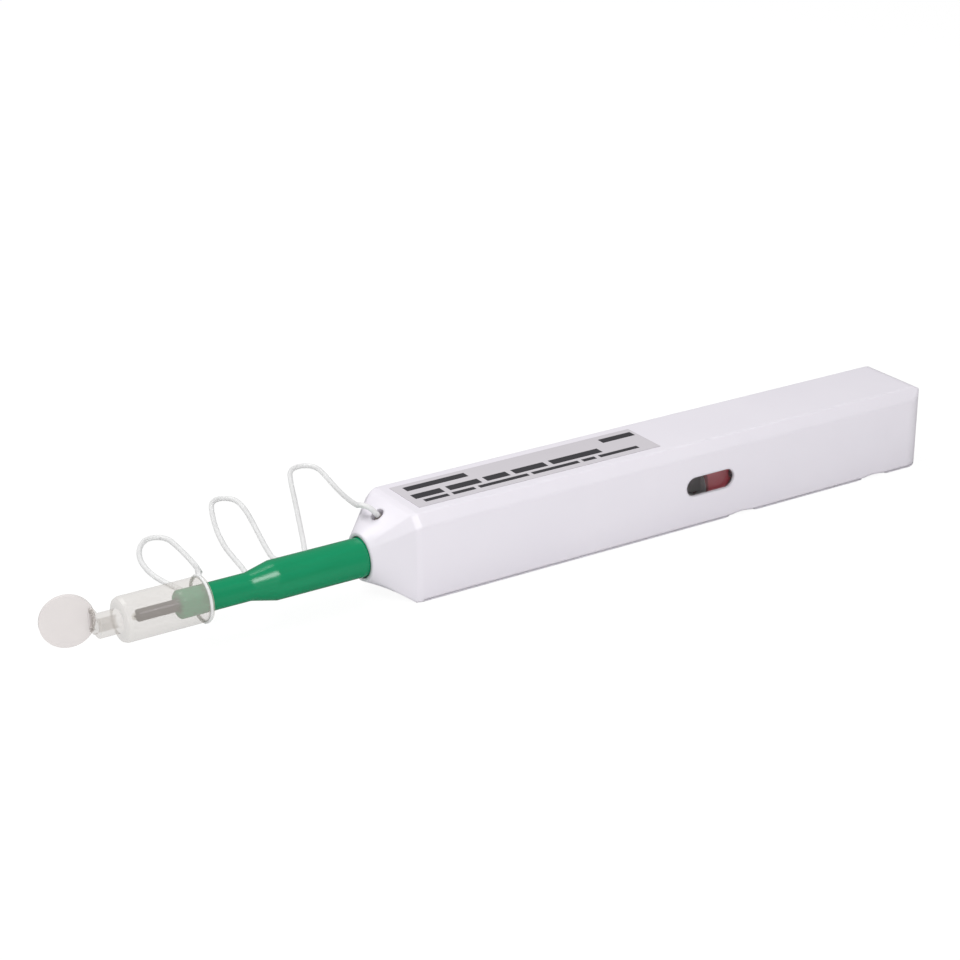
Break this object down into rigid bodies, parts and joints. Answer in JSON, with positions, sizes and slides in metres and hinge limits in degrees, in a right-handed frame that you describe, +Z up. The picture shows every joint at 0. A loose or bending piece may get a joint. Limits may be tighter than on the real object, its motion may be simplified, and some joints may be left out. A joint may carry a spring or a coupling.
{
  "type": "fibre connector cleaning pen",
  "caption": "Push-to-clean fibre connector pen: long bevelled case, sliding green nozzle with a turning cleaning tip, clear guide cap with a hinged lid, thread reels inside and a tether cord.",
  "frame": {"origin": "centre of the flat face that the case lies on, halfway along the case body", "axes": "+X from the tip to the rear along the pen, +Y away from the window side, +Z up from the face it lies on"},
  "size_m": [0.2052, 0.0738, 0.0183],
  "materials": {
    "case_white": "moulded satin",
    "clear_lens": "clear moulded",
    "label_film": "printed film",
    "green_plastic": "moulded gloss",
    "clear_plastic": "clear moulded",
    "inner_plastic": "moulded matt",
    "core_plastic": "moulded matt",
    "red_plastic": "moulded matt",
    "steel": "drawn",
    "thread": "fine cleaning thread",
    "cord": "translucent nylon"
  },
  "bodies": {
    "housing": {"case_shell": "case_white", "base_cover": "case_white", "window_lens": "clear_lens", "label_plate": "label_film", "cam_pin": "steel", "spring_stop": "inner_plastic", "take_up_axle": "steel", "supply_axle": "steel", "anti_reverse_pawl": "inner_plastic", "supply_brake": "steel", "thread_guide": "steel", "feed_thread": "thread", "return_thread": "thread", "tether_knot": "cord", "tether_cord": "cord", "return_spring": "steel"},
    "nozzle": {"nozzle_barrel": "green_plastic", "carriage": "inner_plastic", "carriage_cover": "inner_plastic", "drive_rack": "inner_plastic", "tip_tube": "steel"},
    "core": {"tip_core": "core_plastic", "tip_thread": "thread"},
    "pinion": {"drive_pinion": "inner_plastic"},
    "take_up": {"take_up_reel": "inner_plastic", "take_up_thread": "thread"},
    "supply": {"supply_reel": "red_plastic", "supply_thread": "thread"},
    "cap": {"guide_cap": "clear_plastic", "lid_pin": "clear_plastic", "tether_ring": "cord"},
    "lid": {"cap_lid": "clear_plastic"}
  },
  "joints": [
    {"name": "nozzle_press", "type": "slide", "parent": "housing", "child": "nozzle", "axis": [1, 0, 0], "range_m": [0, 0.008], "stiffness_N_per_m": 300, "springref_m": -0.004, "deforming": ["return_spring"]},
    {"name": "core_turn", "type": "hinge", "parent": "nozzle", "child": "core", "pos_m": [-0.1, 0, 0.00795], "axis": [1, 0, 0], "range_deg": [0, 180]},
    {"name": "pinion_turn", "type": "hinge", "parent": "housing", "child": "pinion", "pos_m": [-0.0135, 0, 0.009], "axis": [0, -1, 0], "range_deg": [0, 114.6]},
    {"name": "take_up_turn", "type": "hinge", "parent": "housing", "child": "take_up", "pos_m": [-0.0135, 0, 0.009], "axis": [0, -1, 0], "continuous": true},
    {"name": "supply_turn", "type": "hinge", "parent": "housing", "child": "supply", "pos_m": [0.0135, 0, 0.009], "axis": [0, -1, 0], "continuous": true},
    {"name": "cap_pull", "type": "slide", "parent": "nozzle", "child": "cap", "axis": [-1, 0, 0], "range_m": [0, 0.025]},
    {"name": "lid_swing", "type": "hinge", "parent": "cap", "child": "lid", "pos_m": [-0.12895, 0.003, 0.00795], "axis": [0, 0, 1], "range_deg": [-8, 105]}
  ],
  "couplings": [
    {"joint": "core_turn", "follows": "nozzle_press", "rad_per_m": 392.7},
    {"joint": "pinion_turn", "follows": "nozzle_press", "rad_per_m": 250},
    {"joint": "supply_turn", "follows": "take_up_turn", "ratio": 0.6981}
  ]
}
